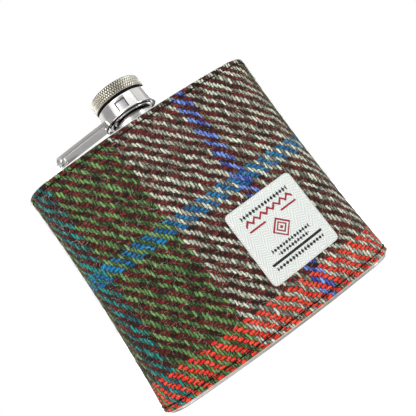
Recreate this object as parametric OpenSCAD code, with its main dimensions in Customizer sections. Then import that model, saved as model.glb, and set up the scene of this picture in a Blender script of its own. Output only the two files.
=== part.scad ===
// Hip flask: a kidney-section steel bottle in a sewn tweed cover, with a screw cap held captive by a
// swinging arm. Millimetres. Z is up, the origin is on the neck axis at the underside of the base,
// the convex front faces -Y and the arm's hinge is on the -X side.

/* [Bottle] */
// Width of the steel bottle across its rounded ends
bottle_w = 92; // [70:1:130]
// Thickness of the steel bottle, front to back
bottle_t = 22; // [18:0.5:30]
// Height of the steel bottle, base to top plate
bottle_h = 88; // [60:1:140]
// Radius of the bottle's curve in plan
bend_r = 150; // [110:5:400]
// How far each side draws in at half height
waist = 1.4; // [0:0.1:3]
// Wall of the bottle's sheet steel
sheet = 0.6; // [0.4:0.1:1]
// Thickness of the base and top plates
plate = 0.9; // [0.6:0.1:1.5]

/* [Cover] */
// Thickness of the canvas lining under the tweed
lining_t = 0.5; // [0.3:0.1:1]
// Thickness of the tweed
tweed_t = 1.1; // [0.8:0.1:2]
// Steel left bare below the cover
bare_foot = 1.2; // [0.5:0.1:4]
// Steel left bare above the cover
bare_top = 0.6; // [0.5:0.1:4]
// Distance of the sewn lines from the cover's edges
seam_in = 2; // [1.5:0.1:5]
// Thickness of the sewing thread
thread_d = 0.5; // [0.3:0.1:0.8]
// Length of one stitch
stitch_l = 2.6; // [2:0.1:4]

/* [Label] */
// Width of the woven label
label_w = 28.2; // [15:0.2:45]
// Height of the woven label
label_h = 28; // [15:0.5:45]
// Thickness of the woven label
label_t = 0.5; // [0.3:0.1:1]
// Distance of the label's middle to the right of the neck axis
label_x = 18.6; // [-15:0.2:20]
// Height of the label's middle above the base
label_z = 28.5; // [22:0.5:60]
// Turn of the label on the cover
label_turn = 1.4; // [-10:0.2:10]

/* [Neck] */
// Bore of the neck, where the drink pours
neck_bore_r = 5.9; // [5:0.1:8]
// Wall of the neck tube
neck_wall = 0.6; // [0.5:0.1:1]
// Height of the mouth above the top plate
neck_h = 9.6; // [8.5:0.1:9.7]
// Height of the thread ridge above the neck tube
thread_ridge = 0.45; // [0.3:0.05:0.6]
// Pitch of the cap's thread
thread_pitch = 1.4; // [1:0.1:2]
// Width of the collar around the foot of the neck
flange_wall = 1.8; // [1:0.1:3]
// Height of the collar around the foot of the neck
flange_h = 3.1; // [2:0.1:3.2]

/* [Cap] */
// How far the knurled head stands out over the band below it
head_over = 0.15; // [0:0.05:1]
// Height of the knurled head
head_h = 4.8; // [4:0.1:8]
// Number of knurl ridges around the head
knurls = 84; // [40:2:120]
// Depth of the knurl
knurl_depth = 0.28; // [0.1:0.02:0.5]
// Radius that rounds the head's top edge
head_round = 1.3; // [0.5:0.1:2]
// Wall of the head's pressed shell
head_wall = 0.7; // [0.5:0.1:1]
// Space between the neck thread and the bore of the cap
thread_gap = 0.6; // [0.5:0.05:1]
// Thickness of the sealing washer
washer_t = 1.2; // [0.8:0.1:2]
// How many turns free the cap from the neck
cap_turns = 2; // [1:0.5:2]

/* [Arm] */
// Distance of the hinge pin from the neck axis
hinge_x = 30.6; // [26:0.1:36]
// Height of the hinge pin above the top plate
hinge_z = 3.6; // [3.2:0.1:4]
// Radius of the hinge pin
pin_r = 0.8; // [0.6:0.05:1.1]
// Width of the arm
arm_w = 10; // [6:0.5:12]
// Depth of the arm's side flanges
arm_d = 1.6; // [1.5:0.1:2.5]
// Sheet thickness of the arm and the collar
arm_sheet = 0.6; // [0.5:0.05:0.8]
// Radius of the round ears that hold the pin
ear_r = 1.6; // [1.4:0.05:2]
// Height of the collar band that carries the cap
band_h = 6.5; // [5.5:0.1:7]
// How much wider the band is at its bottom edge
band_flare = 0.55; // [0:0.05:1]
// Width of each pressed-in tab that holds the cap
tab_w = 4.2; // [3:0.1:5]
// Height of each pressed-in tab
tab_h = 3.9; // [3:0.1:4.5]

/* [Hidden] */

// Fineness of the two soft outlines
end_steps = 12;      // facets around each rounded end of the bottle
face_steps = 14;     // facets along the front and the back
level_steps = 8;     // levels from base to top in a waisted wall
round_fn = 96;       // facets of the drawn circles

// Clearances
run_gap = 0.05;      // running fit of pins and turned parts
slack = 0.2;         // loose fit between parts that only pass each other
lip_gap = 0.15;      // between the cap's lip and the pressed-in tabs
skin_gap = 0.03;     // between the sewn layers

// Heights
top_z = bottle_h;                         // top face of the top plate
cover_z0 = bare_foot;
cover_z1 = bottle_h - bare_top;
pivot_z = top_z + hinge_z;
neck_top = top_z + neck_h;
flange_top = top_z + flange_h;
skirt_lift = 0.75;                        // between the neck's collar and the cap's skirt
skirt_z = flange_top + skirt_lift;        // bottom of the cap's skirt
lip_h = 1;                                // height of the skirt's retaining lip
cap_rise = cap_turns * thread_pitch;      // how far the cap lifts as it unscrews
band_z0 = skirt_z + slack;                // bottom of the collar band
band_z1 = band_z0 + band_h;               // top of the collar band
head_gap = 0.9;                           // dark groove between the band and the head
head_z = band_z1 + head_gap;              // underside of the knurled head
head_top = head_z + head_h;
washer_z = neck_top + run_gap;

// Radii
neck_r = neck_bore_r + neck_wall;
ridge_r = neck_r + thread_ridge;
cap_bore_r = ridge_r + thread_gap;
sleeve_wall = 0.9;                        // wall of the cap's sleeve
lip_out = 0.6;                            // how far the retaining lip stands out of the sleeve
groove_r = cap_bore_r + sleeve_wall;      // floor of the groove that the tabs ride in
lip_r = groove_r + lip_out;
tab_back = 0.4;                           // how far each tab is pressed in
band_r = lip_r + lip_gap + tab_back + arm_sheet;  // outside of the band at its top edge
band_foot_r = band_r + band_flare;        // outside of the band at its foot
band_roll = 0.7;                          // height of the rolled foot
head_r = band_r + head_over;
boss_r = head_r - head_wall - knurl_depth;
tab_rise = 1.1;                           // from the band's foot to its tabs
tab_z0 = band_z0 + tab_rise;
hook_h = 0.8;                             // height of the hook at the top of each tab
tabs = [-8, 112, 232];                    // directions of the tabs, from the front

// Cover thicknesses out from the steel
lining_out = skin_gap + lining_t;
tweed_out = lining_out + skin_gap + tweed_t;

// Arm
arm_slope = 4.9;                          // how far the arm climbs towards the collar, degrees
arm_drop = 0;                             // underside of the arm below the pin's axis
bracket_w = arm_w - 2 * arm_sheet - 2 * run_gap;
knuckle_r = ear_r - 0.1;
pin_head_r = pin_r + 0.3;
pin_head_h = 0.35;
bracket_t = 0.5;
bracket_back = 1.9;                       // bracket foot behind the pin
bracket_foot = 5.4;                       // length of the bracket's foot
thread_flat = 0.2;                        // width of the thread's crest
neck_foot = 1.5;                          // how far the neck tube reaches below the top plate
stitch_gap = 0.6;                         // between one stitch and the next
stitch_deep = thread_d * 0.6;             // how far a stitch stands out of the cloth
label_corner = 1.6;                       // radius of the label's corners
label_inset = 1;                          // from the label's edge to its stitches
label_pitch = 3.2;                        // from one label stitch to the next
seam_half = 1.6;                          // from the back seam to each row of its stitches

function waist_at(z) = waist * (1 - pow(2 * z / bottle_h - 1, 2));

// One kidney outline: e is how far it lies outside the steel, w is how far the ends draw in.
// It runs from the left end along the front to the right end, then back along the concave side.
function end_half(w) = bottle_w / 2 - bottle_t / 2 - w;
function end_angle(w) = asin(end_half(w) / bend_r);
function outline(e, w) = let (r = bottle_t / 2 + e, a = end_angle(w)) concat(
    [for (i = [0 : face_steps]) let (b = -a + 2 * a * i / face_steps)
        [(bend_r + r) * sin(b), bend_r - (bend_r + r) * cos(b)]],
    [for (i = [1 : end_steps - 1]) let (b = a - 90 + 180 * i / end_steps)
        [bend_r * sin(a) + r * cos(b), bend_r - bend_r * cos(a) + r * sin(b)]],
    [for (i = [0 : face_steps]) let (b = a - 2 * a * i / face_steps)
        [(bend_r - r) * sin(b), bend_r - (bend_r - r) * cos(b)]],
    [for (i = [1 : end_steps - 1]) let (b = 90 - a + 180 * i / end_steps)
        [-bend_r * sin(a) + r * cos(b), bend_r - bend_r * cos(a) + r * sin(b)]]);

// A closed sleeve between the outlines e0 and e1, from z0 to z1, that follows the waist.
// soft is how far its two outer edges are taken off.
module sleeve(e0, e1, z0, z1, soft = 0) {
    zs = [for (i = [0 : level_steps]) z0 + (z1 - z0) * i / level_steps];
    outer = concat([[z0, e1 - soft]], soft > 0 ? [[z0 + soft, e1]] : [],
                   [for (i = [1 : level_steps - 1]) [zs[i], e1]],
                   soft > 0 ? [[z1 - soft, e1]] : [], [[z1, e1 - soft]]);
    inner = [for (i = [level_steps : -1 : 0]) [zs[i], e0]];
    rows = concat(outer, inner);
    n = len(outline(0, 0));
    m = len(rows);
    points = [for (row = rows) for (p = outline(row[1], waist_at(row[0]))) [p[0], p[1], row[0]]];
    faces = [for (j = [0 : m - 1]) for (i = [0 : n - 1])
        let (k = (j + 1) % m, i2 = (i + 1) % n)
        each [[j * n + i, k * n + i2, j * n + i2], [j * n + i, k * n + i, k * n + i2]]];
    polyhedron(points, faces);
}

// A round part turned from a half profile
module turned(profile) rotate_extrude($fn = round_fn) polygon(profile);

// A disc or bar across the hinge, centred on the pin's axis
module along_pin(r, from_y, to_y) {
    translate([-hinge_x, to_y, pivot_z]) rotate([90, 0, 0]) cylinder(r = r, h = to_y - from_y, $fn = 48);
}

module base_plate() color("silver") linear_extrude(plate) polygon(outline(0, 0));

module body_wall() color("silver") sleeve(-sheet, 0, plate, bottle_h - plate);

module top_plate() color("silver") translate([0, 0, bottle_h - plate]) difference() {
    linear_extrude(plate) polygon(outline(0, 0));
    translate([0, 0, -1]) cylinder(r = neck_r, h = plate + 2, $fn = round_fn);
}

module neck_flange() color("gainsboro") turned([
    [neck_r, top_z], [neck_r + flange_wall, top_z], [neck_r + flange_wall, flange_top - 0.5],
    [neck_r + flange_wall - 0.5, flange_top], [neck_r, flange_top]]);

// The neck tube runs down through the top plate; its thread is rolled outwards in rings
module neck_tube() color("silver") {
    first = flange_top + thread_ridge;
    rings = floor((neck_top - thread_pitch - first) / thread_pitch);
    half = thread_pitch * 0.32;
    crest = thread_flat / 2;
    foot = top_z - plate - neck_foot;
    ridge = [for (i = [0 : rings]) let (z = first + half + i * thread_pitch)
        each [[neck_r, z - half], [ridge_r, z - crest], [ridge_r, z + crest], [neck_r, z + half]]];
    turned(concat([[neck_bore_r, foot], [neck_r, foot]], ridge,
                  [[neck_r, neck_top - 0.2], [neck_r - 0.2, neck_top], [neck_bore_r, neck_top]]));
}

module hinge_bracket() color("silver") difference() {
    union() {
        translate([-hinge_x - bracket_back, -arm_w / 2, top_z])
            cube([bracket_foot, arm_w, bracket_t]);
        along_pin(knuckle_r, -bracket_w / 2, bracket_w / 2);
        translate([-hinge_x - knuckle_r, -bracket_w / 2, top_z])
            cube([2 * knuckle_r, bracket_w, hinge_z]);
    }
    along_pin(pin_r, -arm_w, arm_w);
}

module hinge_pin() color("silver") {
    along_pin(pin_r, -arm_w / 2 - run_gap, arm_w / 2 + run_gap);
    along_pin(pin_head_r, arm_w / 2 + run_gap, arm_w / 2 + run_gap + pin_head_h);
    along_pin(pin_head_r, -arm_w / 2 - run_gap - pin_head_h, -arm_w / 2 - run_gap);
}

module cover_lining() color("ivory") sleeve(skin_gap, lining_out, cover_z0 - 0.3, cover_z1 - 0.3);

module tweed_cover() color("saddlebrown")
    sleeve(lining_out + skin_gap, tweed_out, cover_z0, cover_z1, soft = 0.6);

// Points and directions on the outer face of the cover, by angle about the bend's centre
function cover_r() = bend_r + bottle_t / 2 + tweed_out;
module on_front(s, z) {
    a = s / cover_r() * 180 / PI;
    translate([0, bend_r, z]) rotate([0, 0, a]) translate([0, -cover_r(), 0]) children();
}

// One stitch: a short bar of thread, lying on the cloth
module stitch(len) translate([-len / 2, -stitch_deep, -thread_d / 2]) cube([len, stitch_deep, thread_d]);

// A row of stitches around the whole cover at height z
module stitch_row(z) {
    w = waist_at(z);
    a = end_angle(w);
    e = bottle_t / 2 + tweed_out;
    gap = skin_gap;
    face = floor(2 * a * PI / 180 * (bend_r + e) / (stitch_l + stitch_gap));
    for (i = [0 : face - 1]) let (b = -a + 2 * a * (i + 0.5) / face)
        translate([0, bend_r, z]) rotate([0, 0, b]) translate([0, -bend_r - e - gap, 0]) stitch(stitch_l);
    back = floor(2 * a * PI / 180 * (bend_r - e) / (stitch_l + stitch_gap));
    for (i = [0 : back - 1]) let (b = -a + 2 * a * (i + 0.5) / back)
        translate([0, bend_r, z]) rotate([0, 0, b]) translate([0, -bend_r + e + gap, 0])
            rotate([0, 0, 180]) stitch(stitch_l);
    end = floor(PI * e / (stitch_l + stitch_gap));
    for (side = [-1, 1]) for (i = [0 : end - 1]) let (b = side * a + side * 180 * (i + 0.5) / end)
        translate([side * end_half(w), bend_r - bend_r * cos(a), z]) rotate([0, 0, b])
            translate([0, -e - 2 * gap, 0]) stitch(stitch_l * 0.9);
}

module top_stitching() color("black") stitch_row(cover_z1 - seam_in);

module bottom_stitching() color("black") stitch_row(cover_z0 + seam_in);

// Two upright rows of stitches, either side of the butt seam down the middle of the back
module back_seam_stitching() color("black") {
    tall = cover_z1 - cover_z0 - 2 * seam_in - stitch_l;
    count = floor(tall / (stitch_l + stitch_gap));
    for (side = [-1, 1]) for (i = [0 : count - 1])
        translate([side * seam_half, bottle_t / 2 + tweed_out + 2 * skin_gap,
                   cover_z0 + seam_in + stitch_l / 2 + tall * (i + 0.5) / count])
            rotate([0, 90, 180]) stitch(stitch_l);
}

// The label follows the front's curve; it is cut from a curved sheet by its own outline
module woven_label() color("whitesmoke") {
    r0 = cover_r() + 2 * skin_gap;
    mid = label_x / cover_r() * 180 / PI;
    translate([0, bend_r, 0]) rotate([0, 0, mid]) translate([0, -bend_r, 0]) intersection() {
        translate([0, bend_r, label_z - label_h]) difference() {
            cylinder(r = r0 + label_t, h = 2 * label_h, $fn = 360);
            translate([0, 0, -1]) cylinder(r = r0, h = 2 * label_h + 2, $fn = 360);
        }
        translate([0, 0, label_z]) rotate([90, 0, 0]) rotate([0, 0, label_turn])
            linear_extrude(bottle_t) rounded_square(label_w, label_h, label_corner);
    }
}

module rounded_square(w, h, r) {
    square([w, h - 2 * r], center = true);
    square([w - 2 * r, h], center = true);
    for (x = [-1, 1]) for (y = [-1, 1]) translate([x * (w / 2 - r), y * (h / 2 - r)])
        circle(r, $fn = 32);
}

// Small white stitches around the label's border
module label_stitching() color("white") {
    wide = label_w - 4 * label_inset;
    tall = label_h - 4 * label_inset;
    across = floor(wide / label_pitch);
    up = floor(tall / label_pitch);
    w = label_w - 2 * label_inset;
    h = label_h - 2 * label_inset;
    for (side = [-1, 1]) {
        for (i = [0 : across - 1])
            label_stitch((i + 0.5 - across / 2) * wide / across, side * h / 2, 0);
        for (i = [0 : up - 1])
            label_stitch(side * w / 2, (i + 0.5 - up / 2) * tall / up, 90);
    }
}

// One stitch at u across and v up the label, from its middle
module label_stitch(u, v, turn) {
    s = label_x + u * cos(label_turn) - v * sin(label_turn);
    z = label_z + u * sin(label_turn) + v * cos(label_turn);
    lift = 3 * skin_gap + label_t;
    on_front(s, z) translate([0, -lift, 0]) rotate([0, -label_turn - turn, 0])
        translate([-0.9, -0.3, -0.2]) cube([1.8, 0.3, 0.4]);
}

// The arm: a shallow channel that climbs from the hinge to the band, with a round ear on each side.
// It runs into the band, which trims it to the band's own outside.
module hinge_arm() color("silver") {
    run = hinge_x - band_r + 2 * arm_sheet;
    notch = knuckle_r + 3 * slack;         // keeps the web clear of the knuckle
    difference() {
        union() {
            for (y = [-arm_w / 2 + arm_sheet, arm_w / 2]) translate([-hinge_x, y, pivot_z])
                rotate([90, 0, 0]) linear_extrude(arm_sheet) arm_side(run);
            translate([-hinge_x, 0, pivot_z]) rotate([0, -arm_slope, 0])
                translate([notch, -arm_w / 2 + arm_sheet / 2, -arm_drop])
                    cube([run - notch, arm_w - arm_sheet, arm_sheet]);
        }
        turned([[0, band_z0 - 3], [band_foot_r, band_z0 - 3], [band_foot_r, band_z0 + band_roll],
                [band_r, band_z1 - 0.2], [band_r, band_z1 + 3], [0, band_z1 + 3]]);
    }
}

// One side flange of the arm with its ear and pin hole, about the pin's centre
module arm_side(run) difference() {
    union() {
        rotate(arm_slope) translate([0, -arm_drop]) square([run, arm_d]);
        circle(ear_r, $fn = 48);
    }
    circle(pin_r + run_gap, $fn = 48);
}

// The band around the cap, rolled in at its foot, with three tabs pressed in to catch the cap
module cap_collar() color("silver") {
    r1 = band_r;
    r0 = band_foot_r;
    difference() {
        turned([[r1 - arm_sheet, band_z1], [r0 - arm_sheet, band_z0 + band_roll],
                [r0 - arm_sheet - 0.1, band_z0], [r0 - 0.35, band_z0], [r0, band_z0 + 0.35],
                [r0, band_z0 + band_roll], [r1, band_z1 - 0.2], [r1 - 0.2, band_z1]]);
        for (a = tabs) tab_window(a);
    }
    for (a = tabs) rotate([0, 0, a]) tab();
}

module tab_window(a) rotate([0, 0, a]) translate([-tab_w / 2, -head_r - 2, tab_z0]) cube([tab_w, 4, tab_h]);

// A tab lies a little inside the band, and its top edge hooks in over the skirt's lip
module tab() {
    r = band_r - tab_back;
    hook_r = groove_r + slack;
    intersection() {
        translate([-tab_w / 2, -head_r - 2, tab_z0]) cube([tab_w, 8, tab_h]);
        turned([[r - arm_sheet, tab_z0], [r + tab_back, tab_z0], [r, tab_z0 + 0.4], [r, tab_z0 + tab_h - 0.3],
                [r - 0.3, tab_z0 + tab_h], [hook_r, tab_z0 + tab_h], [hook_r, tab_z0 + tab_h - hook_h],
                [r - arm_sheet, tab_z0 + tab_h - hook_h]]);
    }
}

module seal_washer() color("dimgray") translate([0, 0, washer_z])
    cylinder(r = cap_bore_r - run_gap, h = washer_t, $fn = round_fn);

// The cap's sleeve: a lip at its foot, the groove the tabs ride in, and the boss inside the head
module cap_sleeve() color("silver") {
    seat = washer_z + washer_t + run_gap;
    boss_top = head_top - head_wall;
    turned([[cap_bore_r + 0.5, skirt_z], [lip_r, skirt_z], [lip_r, skirt_z + lip_h - 0.3],
            [lip_r - 0.3, skirt_z + lip_h], [groove_r, skirt_z + lip_h], [groove_r, head_z - 0.2],
            [boss_r, head_z - 0.2], [boss_r, boss_top], [0, boss_top], [0, seat],
            [cap_bore_r, seat], [cap_bore_r, skirt_z + 0.6]]);
}

// The knurled shell pressed over the boss
module cap_head() color("lightgray") intersection() {
    linear_extrude(head_top + 1) polygon([for (i = [0 : 2 * knurls - 1])
        let (r = head_r - (i % 2) * knurl_depth, b = 180 * i / knurls) r * [cos(b), sin(b)]]);
    turned(concat([[boss_r, head_z], [head_r - 0.25, head_z], [head_r + 0.01, head_z + 0.3]],
        [for (i = [0 : 6]) let (b = 15 * i)
            [head_r + 0.01 - head_round * (1 - cos(b)), head_top - head_round * (1 - sin(b))]],
        [[0, head_top], [0, head_top - head_wall], [boss_r, head_top - head_wall]]));
}

base_plate();
body_wall();
top_plate();
neck_flange();
neck_tube();
hinge_bracket();
hinge_pin();
cover_lining();
tweed_cover();
top_stitching();
bottom_stitching();
back_seam_stitching();
woven_label();
label_stitching();
hinge_arm();
cap_collar();
seal_washer();
cap_sleeve();
cap_head();
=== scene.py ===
# %% [markdown]
# # A hip flask in a sewn tweed cover
# The flask is a kidney-shaped steel bottle. A tweed cover is sewn around it, a small woven label sits on the
# cover, and a screw cap hangs on a swinging arm so that it can't be lost. This lesson builds each piece
# around a imported CAD frame, which already holds every size and every joint. The frame is loaded first, and
# the pieces take their places and sizes from the boxes of its parts. The finished pieces have to fill the
# same box.

# %% Load the frame
import math
import bpy
import numpy as np
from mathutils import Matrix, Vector


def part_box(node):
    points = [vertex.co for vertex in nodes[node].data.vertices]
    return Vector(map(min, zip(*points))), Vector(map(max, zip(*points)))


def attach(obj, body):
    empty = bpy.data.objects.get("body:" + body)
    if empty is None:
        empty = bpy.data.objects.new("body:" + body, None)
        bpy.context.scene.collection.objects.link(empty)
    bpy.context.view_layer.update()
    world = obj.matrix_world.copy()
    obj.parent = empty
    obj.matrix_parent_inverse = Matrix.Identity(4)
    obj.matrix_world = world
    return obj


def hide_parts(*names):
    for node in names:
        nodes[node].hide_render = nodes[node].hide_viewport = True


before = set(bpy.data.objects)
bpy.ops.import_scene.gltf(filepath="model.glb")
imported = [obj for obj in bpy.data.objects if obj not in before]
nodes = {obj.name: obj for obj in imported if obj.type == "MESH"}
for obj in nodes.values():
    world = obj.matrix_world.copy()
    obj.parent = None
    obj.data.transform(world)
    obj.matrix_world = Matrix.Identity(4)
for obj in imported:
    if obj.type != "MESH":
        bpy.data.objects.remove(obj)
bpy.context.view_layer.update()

# %% [markdown]
# ## Sizes
# Most places come from the frame's own boxes. The few sizes that a box can't tell, such as how tightly the
# bottle curves, are named here once. Everything is in metres, so a millimetre gets a name of its own.

# %% Driving sizes
MM = 0.001
BOTTLE_W = 92 * MM      # width of the bare steel
BOTTLE_T = 22 * MM      # its thickness, front to back
BEND = 150 * MM         # radius of the bottle's curve in plan, about the point (0, BEND)
WAIST = 1.4 * MM        # how far each side draws in at half height
BODY_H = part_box("top_plate")[1].z
COVER_LO, COVER_HI = (corner.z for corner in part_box("tweed_cover"))
LINING_LO, LINING_HI = (corner.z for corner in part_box("cover_lining"))
SKIN = 0.03 * MM        # air between two sewn layers
WELD = 0.001 * MM       # points closer than this are one
LINING_T = 0.5 * MM
TWEED_T = 1.1 * MM
LINING_OUT = SKIN + LINING_T
CLOTH_IN = LINING_OUT + SKIN
CLOTH_OUT = CLOTH_IN + TWEED_T
print("cover from", COVER_LO, "to", COVER_HI)

# %% [markdown]
# ## Small helpers for modelling by hand
# An operator acts on everything that is selected, and loading the frame leaves its nodes selected. So each
# step starts by deselecting all, then makes one object active. A short helper keeps that habit in one place.


# %% Selection and edit mode
def only(obj):
    bpy.ops.object.select_all(action="DESELECT")
    obj.select_set(True)
    bpy.context.view_layer.objects.active = obj


def start_edit(obj, everything=True):
    only(obj)
    bpy.ops.object.mode_set(mode="EDIT")
    bpy.ops.mesh.select_all(action="SELECT" if everything else "DESELECT")


def end_edit():
    bpy.ops.object.mode_set(mode="OBJECT")


def modify(obj, kind, **settings):
    """Adds a modifier and applies it at once."""
    only(obj)
    modifier = obj.modifiers.new(kind.title(), kind)
    for key, value in settings.items():
        setattr(modifier, key, value)
    bpy.ops.object.modifier_apply(modifier=modifier.name)


def linked(name, data):
    """A new object that holds a mesh, a light or a camera, in the scene."""
    obj = bpy.data.objects.new(name, data)
    bpy.context.scene.collection.objects.link(obj)
    return obj


def smooth(obj, angle):
    """Shades a piece smooth, but for its edges that are sharper than an angle in degrees."""
    only(obj)
    bpy.ops.object.shade_smooth_by_angle(angle=math.radians(angle))


def soften(obj, width, angle=35, segments=2):
    """Rounds every sharp edge a little, as tumbling and polishing do, then shades it smooth."""
    modify(obj, "BEVEL", width=width, segments=segments, limit_method="ANGLE",
           angle_limit=math.radians(angle), use_clamp_overlap=True)
    smooth(obj, angle)


def from_points(name, points, faces):
    """A mesh object from an array of points and a list of faces, for the soft goods."""
    mesh = bpy.data.meshes.new(name)
    mesh.from_pydata(points.tolist(), [], faces)
    mesh.update()
    return linked(name, mesh)


def point_of_corner(obj):
    """Which point each face corner stands on."""
    point = np.zeros(len(obj.data.loops), int)
    obj.data.loops.foreach_get("vertex_index", point)
    return point


# %% [markdown]
# Round metal parts are turned on a lathe. In Blender that is one outline, drawn corner by corner with
# extrude, and then spun about the axis. Where the spin closes on itself the doubled points are merged, and
# the normals are worked out again, because a spin can turn a shape inside out. A spin through less than a
# full turn starts from a filled outline, so that both of its ends are closed.


# %% A lathe
def turn_z(point, degrees):
    c, s = math.cos(math.radians(degrees)), math.sin(math.radians(degrees))
    return Vector((c * point[0] - s * point[1], s * point[0] + c * point[1], point[2]))


def lathe(name, outline, steps=128, first=0, sweep=360):
    """Spins a closed outline of (radius, height) corners about Z, from a first angle through a sweep."""
    corners = [turn_z((radius, 0, height), first) for radius, height in outline]
    bpy.ops.object.select_all(action="DESELECT")
    bpy.ops.mesh.primitive_plane_add(size=MM)
    obj = bpy.context.active_object
    obj.name = name
    start_edit(obj)
    bpy.ops.mesh.merge(type="CENTER")
    bpy.ops.transform.translate(value=corners[0])
    for here, there in zip(corners, corners[1:] + corners[:1]):
        bpy.ops.mesh.extrude_region_move(TRANSFORM_OT_translate={"value": there - here})
    bpy.ops.mesh.select_all(action="SELECT")
    bpy.ops.mesh.remove_doubles(threshold=WELD)
    if sweep < 360:
        bpy.ops.mesh.edge_face_add()
    bpy.ops.mesh.spin(steps=steps, angle=math.radians(sweep), center=(0, 0, 0), axis=(0, 0, 1))
    bpy.ops.mesh.select_all(action="SELECT")
    bpy.ops.mesh.remove_doubles(threshold=WELD)
    bpy.ops.mesh.normals_make_consistent(inside=False)
    end_edit()
    return obj


# %% [markdown]
# A few small parts of the frame already have the right shape, such as the hinge pin. Those are copied,
# welded, and given the soft edges that real pressed steel has. The frame's own node is left alone.


# %% Copies of frame parts
def refined(node, name, edge):
    obj = linked(name, nodes[node].data.copy())
    obj.data.materials.clear()
    start_edit(obj)
    bpy.ops.mesh.remove_doubles(threshold=WELD)
    bpy.ops.mesh.dissolve_limited(angle_limit=math.radians(2))
    end_edit()
    soften(obj, edge)
    print(name, "has", len(obj.data.polygons), "faces")
    return obj


# %% [markdown]
# ## Writing materials as sums
# A material is a net of nodes, and so is the world around the scene. Long nets are easier to read as
# arithmetic, so a small class wraps one number that flows through the net, and its plus, minus, times and
# divide signs add the Math nodes. The net's own method adds any other node.


# %% A number in a net
class Flow:
    def __init__(self, net, socket):
        self.net, self.socket = net, socket

    def math(self, operation, *others):
        values = dict(enumerate((self,) + others))
        return self.net.node("ShaderNodeMath", {"operation": operation}, values)

    def __add__(self, other):
        return self.math("ADD", other)

    def __radd__(self, other):
        return self.math("ADD", other)

    def __sub__(self, other):
        return self.math("SUBTRACT", other)

    def __rsub__(self, other):
        return self.net.number(other).math("SUBTRACT", self)

    def __mul__(self, other):
        return self.math("MULTIPLY", other)

    def __rmul__(self, other):
        return self.math("MULTIPLY", other)

    def __truediv__(self, other):
        return self.math("DIVIDE", other)

    def floor(self):
        return self.math("FLOOR")

    def wrap(self, size):
        return self.math("FLOORED_MODULO", size)

    def cosine(self):
        return self.math("COSINE")

    def sine(self):
        return self.math("SINE")

    def size(self):
        return self.math("ABSOLUTE")

    def above(self, limit):
        return self.math("GREATER_THAN", limit)

    def below(self, limit):
        return self.math("LESS_THAN", limit)

    def larger(self, other):
        return self.math("MAXIMUM", other)

    def smaller(self, other):
        return self.math("MINIMUM", other)

    def ramp(self, low, high):
        """0 below low, 1 above high, and straight between them."""
        settings = {"clamp": True}
        values = {"Value": self, "From Min": low, "From Max": high}
        return self.net.node("ShaderNodeMapRange", settings, values)


# %% A net of nodes
class Net:
    def __init__(self, owner):
        owner.use_nodes = True
        self.tree = owner.node_tree
        self.tree.nodes.clear()

    def node(self, kind, settings=None, values=None, output=0):
        made = self.tree.nodes.new(kind)
        for key, value in (settings or {}).items():
            if key == "stops":
                self.set_stops(made.color_ramp, value)
            else:
                setattr(made, key, value)
        for key, value in (values or {}).items():
            if isinstance(value, Flow):
                self.tree.links.new(value.socket, made.inputs[key])
            else:
                made.inputs[key].default_value = value
        return None if output is None else Flow(self, made.outputs[output])

    def set_stops(self, ramp, stops):
        """Stops are (place, colour) pairs, from left to right."""
        while len(ramp.elements) < len(stops):
            ramp.elements.new(0.5)
        for element, (place, colour) in zip(ramp.elements, stops):
            element.position = place
            element.color = colour

    def number(self, value):
        return self.node("ShaderNodeMath", {"operation": "ADD"}, {0: value, 1: 0.0})

    def joined(self, x=0.0, y=0.0, z=0.0):
        return self.node("ShaderNodeCombineXYZ", None, {0: x, 1: y, 2: z})

    def parts(self, vector):
        return [self.node("ShaderNodeSeparateXYZ", None, {0: vector}, output=k) for k in range(3)]

    def place(self):
        """Where a point is on the object, in metres."""
        return self.node("ShaderNodeTexCoord", output="Object")

    def own_map(self, name):
        return self.node("ShaderNodeUVMap", {"uv_map": name})

    def noise(self, vector, scale, detail=2.0, roughness=0.5):
        values = {"Vector": vector, "Scale": scale, "Detail": detail, "Roughness": roughness}
        return self.node("ShaderNodeTexNoise", None, values)

    def chance(self, vector):
        """A fixed random number for each whole-number place."""
        return self.node("ShaderNodeTexWhiteNoise", {"noise_dimensions": "3D"}, {"Vector": vector})

    def blend(self, factor, first, second, how="MIX"):
        """Mixes two colours; how can also be a way to join them, such as MULTIPLY."""
        settings = {"data_type": "RGBA", "blend_type": how}
        return self.node("ShaderNodeMix", settings, {0: factor, 6: first, 7: second}, output=2)

    def colours(self, factor, stops, steps=False):
        made = self.node("ShaderNodeValToRGB", {"stops": stops}, {0: factor})
        made.socket.node.color_ramp.interpolation = "CONSTANT" if steps else "LINEAR"
        return made

    def bump(self, height, distance, strength=1.0):
        values = {"Height": height, "Distance": distance, "Strength": strength}
        return self.node("ShaderNodeBump", None, values)


# %% [markdown]
# A recipe is a net that ends in one Principled shader. What is the same all over a surface is set on the
# shader at the start, and what changes over it is linked when the recipe is finished.


# %% A material recipe
class Recipe(Net):
    def __init__(self, name, **constants):
        self.material = bpy.data.materials.new(name)
        super().__init__(self.material)
        output = self.tree.nodes.new("ShaderNodeOutputMaterial")
        self.shader = self.tree.nodes.new("ShaderNodeBsdfPrincipled")
        self.tree.links.new(self.shader.outputs[0], output.inputs[0])
        for key, value in constants.items():
            self.shader.inputs[key.replace("_", " ")].default_value = value

    def finish(self, **links):
        for key, value in links.items():
            self.tree.links.new(value.socket, self.shader.inputs[key.replace("_", " ")])
        return self.material


def tone(red, green, blue):
    """A screen colour from 0 to 255, as the linear colour that a shader wants, by the sRGB formula."""
    linear = [((c / 255 + 0.055) / 1.055) ** 2.4 if c > 10 else c / 255 / 12.92 for c in (red, green, blue)]
    return (*linear, 1.0)
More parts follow.
